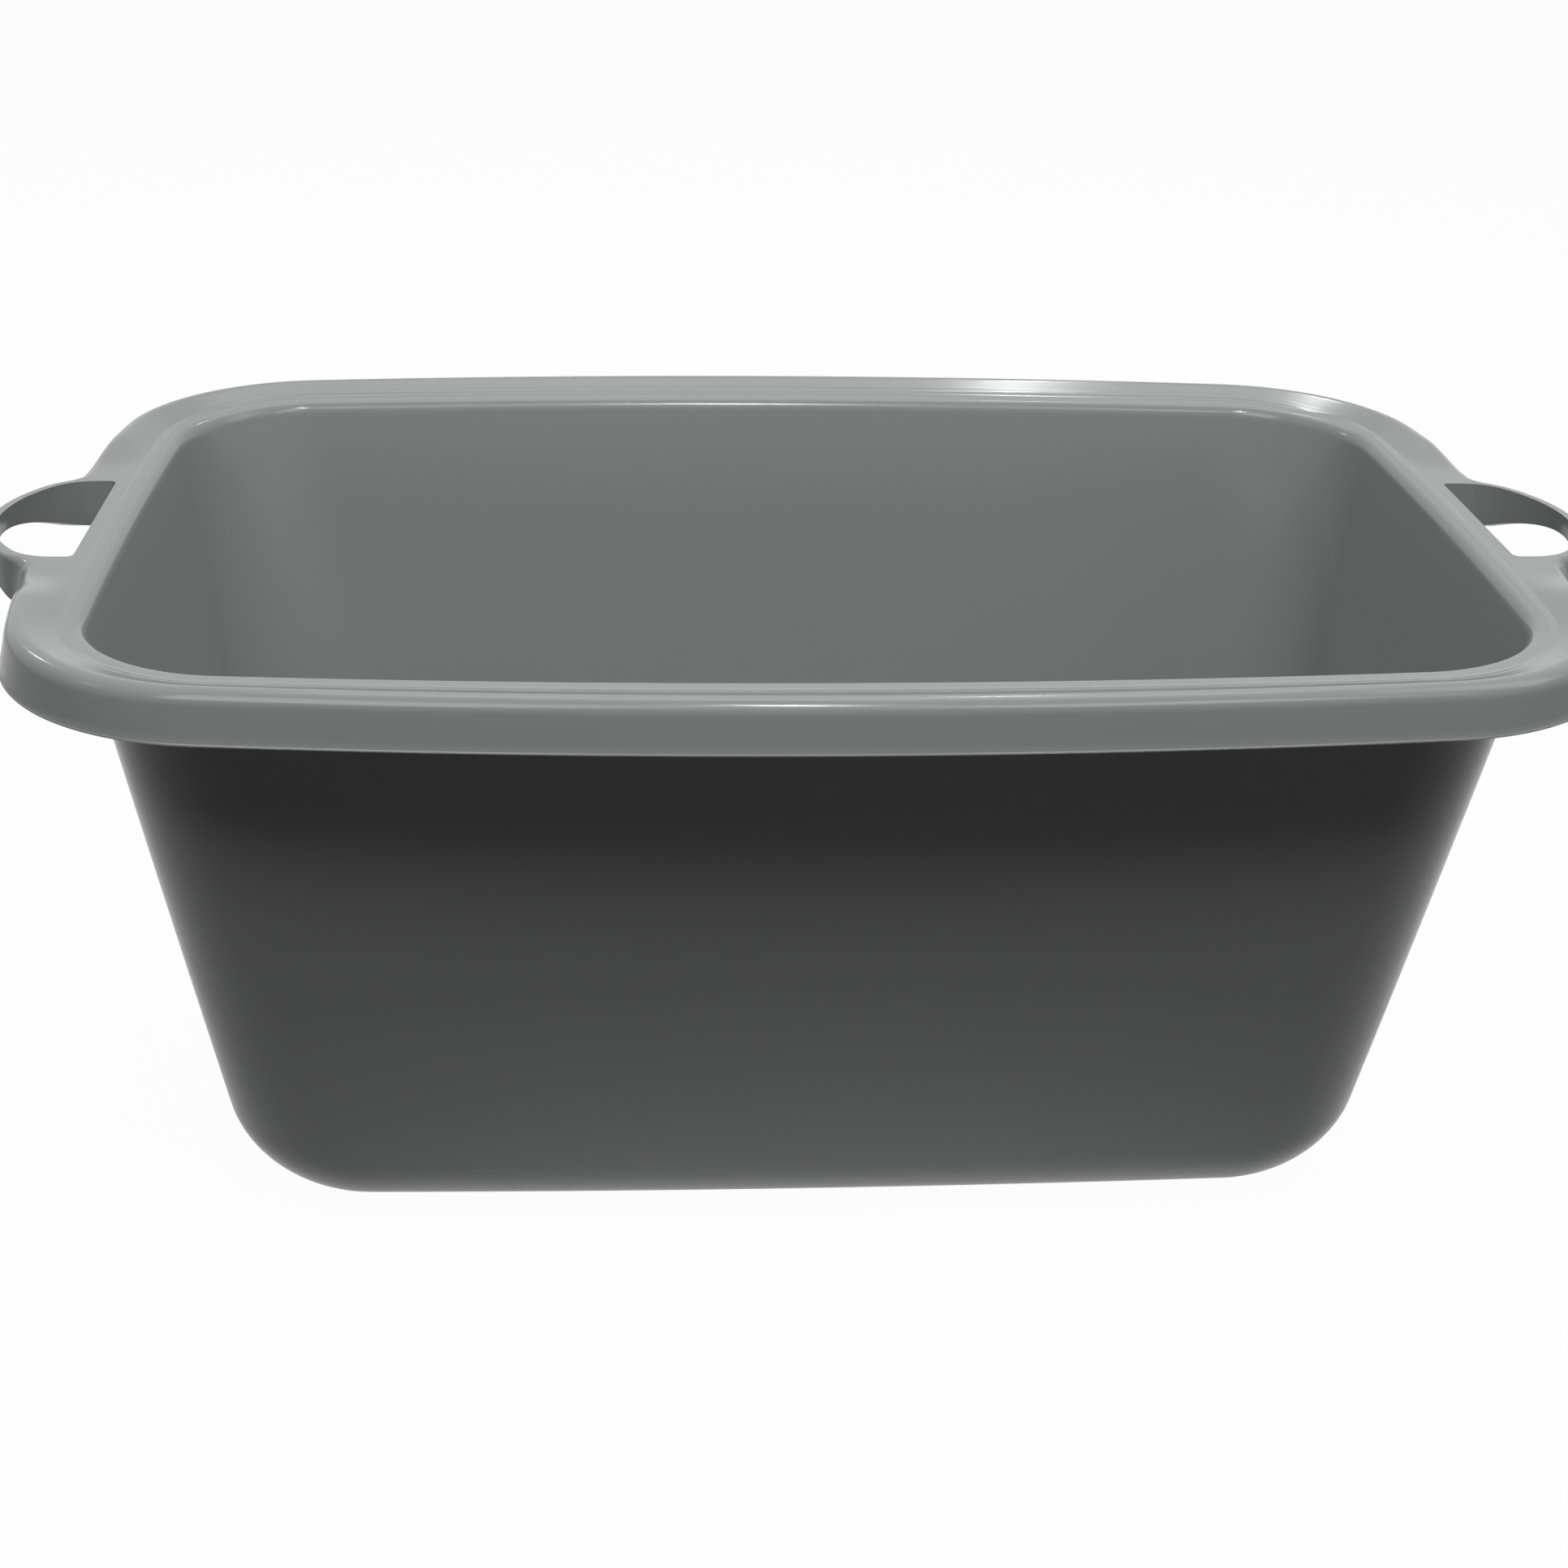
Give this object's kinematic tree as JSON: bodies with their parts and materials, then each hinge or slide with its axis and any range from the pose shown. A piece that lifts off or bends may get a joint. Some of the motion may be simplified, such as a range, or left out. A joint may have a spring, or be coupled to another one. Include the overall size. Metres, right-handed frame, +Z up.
{
  "type": "utility tub",
  "caption": "Open, tapered, rectangular plastic tub with rounded corners, a turned-down rim and a hand-hole handle with an arched strap at each short end.",
  "frame": {"origin": "the middle of the face that the tub stands on", "axes": "+X along the tub's length towards the right-hand handle, +Y to the back, +Z up"},
  "size_m": [0.68, 0.438, 0.278],
  "materials": {
    "grey_plastic": "smooth moulded mid grey, half glossy"
  },
  "bodies": {
    "root": {"basin": "grey_plastic", "front_rim": "grey_plastic", "back_rim": "grey_plastic", "left_handle": "grey_plastic", "right_handle": "grey_plastic"}
  },
  "joints": []
}
